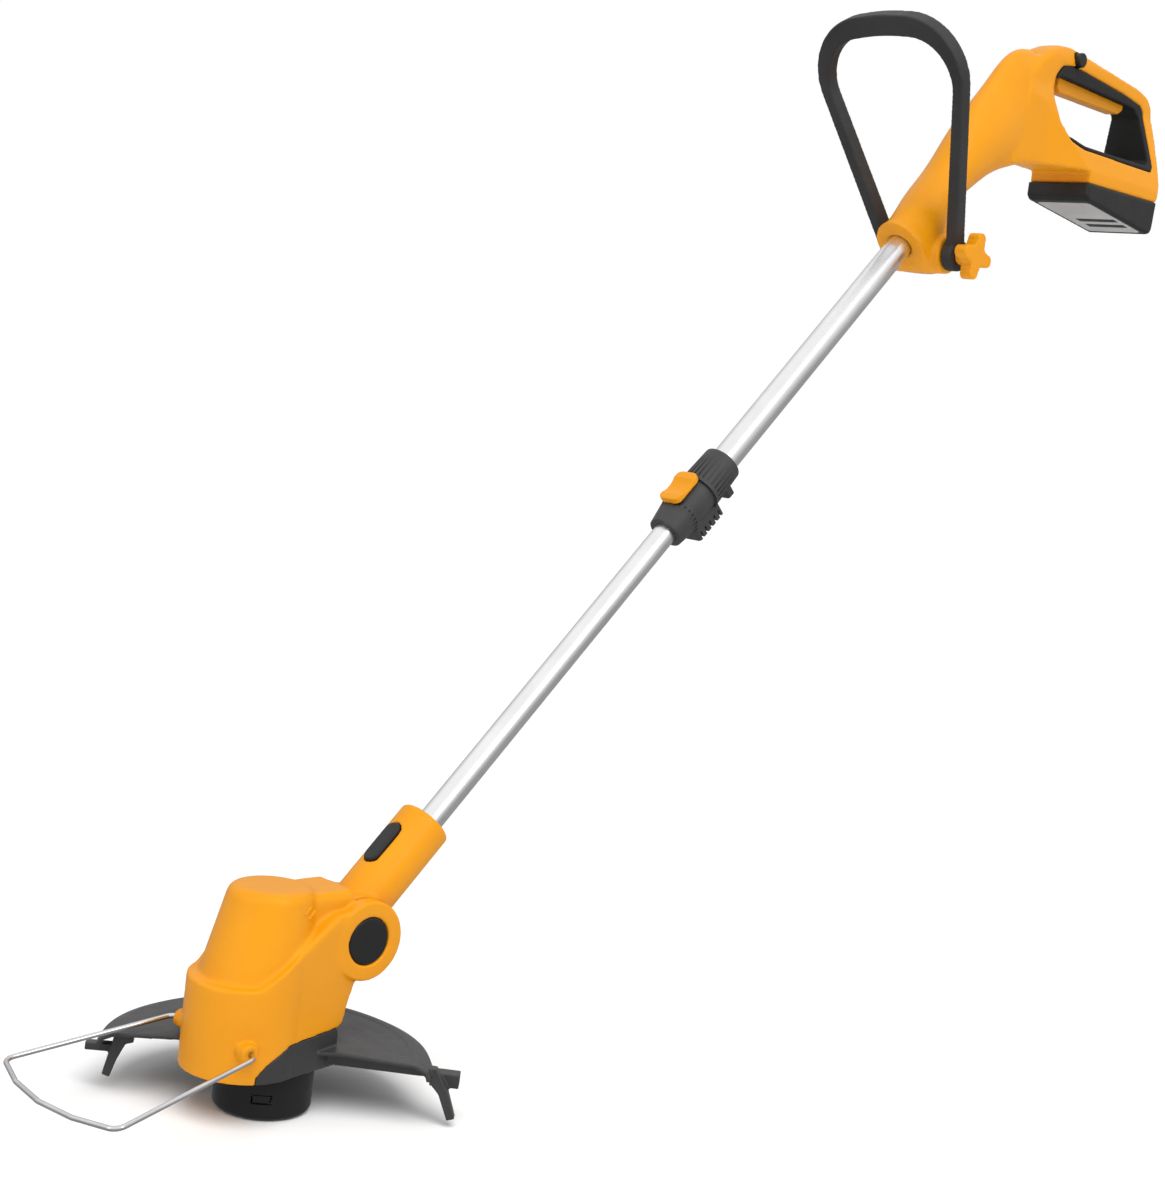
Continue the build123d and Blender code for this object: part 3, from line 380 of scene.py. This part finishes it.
# ---------- small additions ----------
def bar(name, place, size, turn, bevel, body, mat):
    """A small bar with rounded edges, centred at a place and turned about Y."""
    bm = bmesh.new()
    bmesh.ops.create_cube(bm, size=1.0)
    bmesh.ops.scale(bm, vec=size, verts=bm.verts)
    bmesh.ops.bevel(bm, geom=bm.edges[:], offset=bevel, segments=3, profile=0.5, affect="EDGES")
    bmesh.ops.transform(bm, matrix=Matrix.Translation(place) @ turn, verts=bm.verts)
    mesh = bpy.data.meshes.new(name)
    bm.to_mesh(mesh)
    bm.free()
    smooth_all(mesh, SHARP_ANGLE)
    mesh_object(name, mesh, body, mat)


# dark strips in the recesses of the battery's underside
BASE_START = Vector((0.926, 0, 0.837))
STRIP_SIZE, STRIP_BEVEL = (0.0116, 0.0476, 0.0005), 0.00015
STRIP_SIDE, STRIP_RISE = -0.003, 0.00055
base_turn = Matrix.Rotation(math.atan2(16.5, 121), 4, "Y")
for index, along in enumerate((0.072, 0.093)):
    place = BASE_START + base_turn @ Vector((along, STRIP_SIDE, STRIP_RISE))
    bar("battery_strip_" + str(index + 1), place, STRIP_SIZE, base_turn, STRIP_BEVEL, "battery",
        MATERIALS["spool_plastic"])
# two small ribs on the near side of the dome
RIB_SIZE, RIB_BEVEL = (0.010, 0.0026, 0.0016), 0.0007
RIB_TURN = Vector((0.8, 0.30, 0.52)).to_track_quat("X", "Z").to_matrix().to_4x4()
for index, place in enumerate(((-0.0010, -0.0322, 0.1637), (0.0040, -0.0312, 0.1597))):
    bar("dome_rib_" + str(index + 1), place, RIB_SIZE, RIB_TURN, RIB_BEVEL, "head",
        MATERIALS["yellow_plastic"])

# ---------- camera ----------
EYE = Vector((-0.94965, -1.21759, 0.58333))
YAW, PITCH, ROLL = math.radians(-45.41), math.radians(5.99), math.radians(7.07)
LENS, SENSOR = 60.97, 36.0  # millimetres
forward = Vector((-math.sin(YAW) * math.cos(PITCH), math.cos(YAW) * math.cos(PITCH),
                  -math.sin(PITCH)))
level = Vector((math.cos(YAW), math.sin(YAW), 0))
above = level.cross(forward)
right = level * math.cos(ROLL) + above * math.sin(ROLL)
up = above * math.cos(ROLL) - level * math.sin(ROLL)
camera = bpy.data.objects.new("camera", bpy.data.cameras.new("camera"))
scene.collection.objects.link(camera)
camera.data.sensor_width = SENSOR
camera.data.lens = LENS
camera.data.clip_start, camera.data.clip_end = 0.05, 60
turn = Matrix((right, up, -forward)).transposed().to_4x4()
camera.matrix_world = Matrix.Translation(EYE) @ turn
scene.camera = camera

# ---------- studio ----------
def background(tree, strength):
    node = tree.nodes.new("ShaderNodeBackground")
    node.inputs["Color"].default_value = (1, 1, 1, 1)
    node.inputs["Strength"].default_value = strength
    return node


def switched(tree, ray, usual, special):
    """The special shader for one kind of ray, the usual one for all others."""
    path = tree.nodes.new("ShaderNodeLightPath")
    mix = tree.nodes.new("ShaderNodeMixShader")
    tree.links.new(path.outputs[ray], mix.inputs["Fac"])
    tree.links.new(usual, mix.inputs[1])
    tree.links.new(special, mix.inputs[2])
    return mix.outputs["Shader"]


scene.view_settings.view_transform = "Standard"
FLOOR_HALF, FLOOR_GAP = 12.0, 0.0005
floor_mesh = bpy.data.meshes.new("floor")
floor_mesh.from_pydata([(-FLOOR_HALF, -FLOOR_HALF, 0), (FLOOR_HALF, -FLOOR_HALF, 0),
                        (FLOOR_HALF, FLOOR_HALF, 0), (-FLOOR_HALF, FLOOR_HALF, 0)],
                       [], [(0, 1, 2, 3)])
floor = bpy.data.objects.new("floor", floor_mesh)
floor.location = (0.4, 0, CAD_BOX[0][2] - FLOOR_GAP)
scene.collection.objects.link(floor)
floor_mat, floor_tree, floor_bsdf = new_material("floor_pale")
floor_tone = noise(floor_tree, coords(floor_tree), 3.0)
floor_tree.links.new(two_tone(floor_tree, floor_tone, (0.95, 0.95, 0.95), (0.97, 0.97, 0.97)),
                     floor_bsdf.inputs["Base Color"])
floor_bsdf.inputs["Roughness"].default_value = 0.8
floor_bsdf.inputs["Specular IOR Level"].default_value = 0.1
floor_mesh.materials.append(floor_mat)
# painted reflection: glossy rays see the floor as a flat grey glow instead of its lit surface, so
# metals and gloss reflect a greyer floor, as under studio flags
painted_floor_reflection = floor_tree.nodes.new("ShaderNodeEmission")
painted_floor_reflection.inputs["Color"].default_value = (1, 1, 1, 1)
painted_floor_reflection.inputs["Strength"].default_value = 0.34
floor_tree.links.new(switched(floor_tree, "Is Glossy Ray", floor_bsdf.outputs["BSDF"],
                              painted_floor_reflection.outputs["Emission"]),
                     floor_tree.nodes["Material Output"].inputs["Surface"])

world = bpy.data.worlds.new("studio")
scene.world = world
world.use_nodes = True
tree = world.node_tree
# soft fill for diffuse rays, a bright gradient for gloss, plain white behind the object
plain = tree.nodes["Background"]
plain.inputs["Color"].default_value = (1, 1, 1, 1)
plain.inputs["Strength"].default_value = 0.5
seen = background(tree, 1.0)
gloss = background(tree, 1.0)
sky = tree.nodes.new("ShaderNodeTexCoord")
lift = tree.nodes.new("ShaderNodeVectorMath")
lift.operation = "DOT_PRODUCT"
lift.inputs[1].default_value = (-0.22, -0.12, 0.85)
tree.links.new(sky.outputs["Generated"], lift.inputs[0])
tree.links.new(spread(tree, lift.outputs["Value"], 0.42, 1.05, -0.1, 0.6),
               gloss.inputs["Strength"])
lit = switched(tree, "Is Glossy Ray", plain.outputs["Background"], gloss.outputs["Background"])
tree.links.new(switched(tree, "Is Camera Ray", lit, seen.outputs["Background"]),
               tree.nodes["World Output"].inputs["Surface"])


def aimed(name, data, place, target):
    light = bpy.data.objects.new(name, data)
    light.location = place
    aim = Vector(target) - Vector(place)
    light.rotation_mode = "QUATERNION"
    light.rotation_quaternion = aim.to_track_quat("-Z", "Y")
    scene.collection.objects.link(light)
    return light


def softbox(name, place, target, size, watts):
    data = bpy.data.lights.new(name, "AREA")
    data.shape = "RECTANGLE"
    data.size, data.size_y = size
    data.energy = watts
    aimed(name, data, place, target)


MIDDLE = (0.45, 0.0, 0.45)
ceiling_data = bpy.data.lights.new("ceiling", "SUN")
ceiling_data.angle = math.radians(50)
ceiling_data.energy = 2.15
ceiling = aimed("ceiling", ceiling_data, (-0.2, -1.1, 3.0), MIDDLE)
ceiling.visible_glossy = False
softbox("front_box", (0.2, -2.6, 2.2), MIDDLE, (0.9, 1.6), 12)
softbox("left_box", (-2.6, 0.2, 1.6), MIDDLE, (0.7, 1.8), 6)
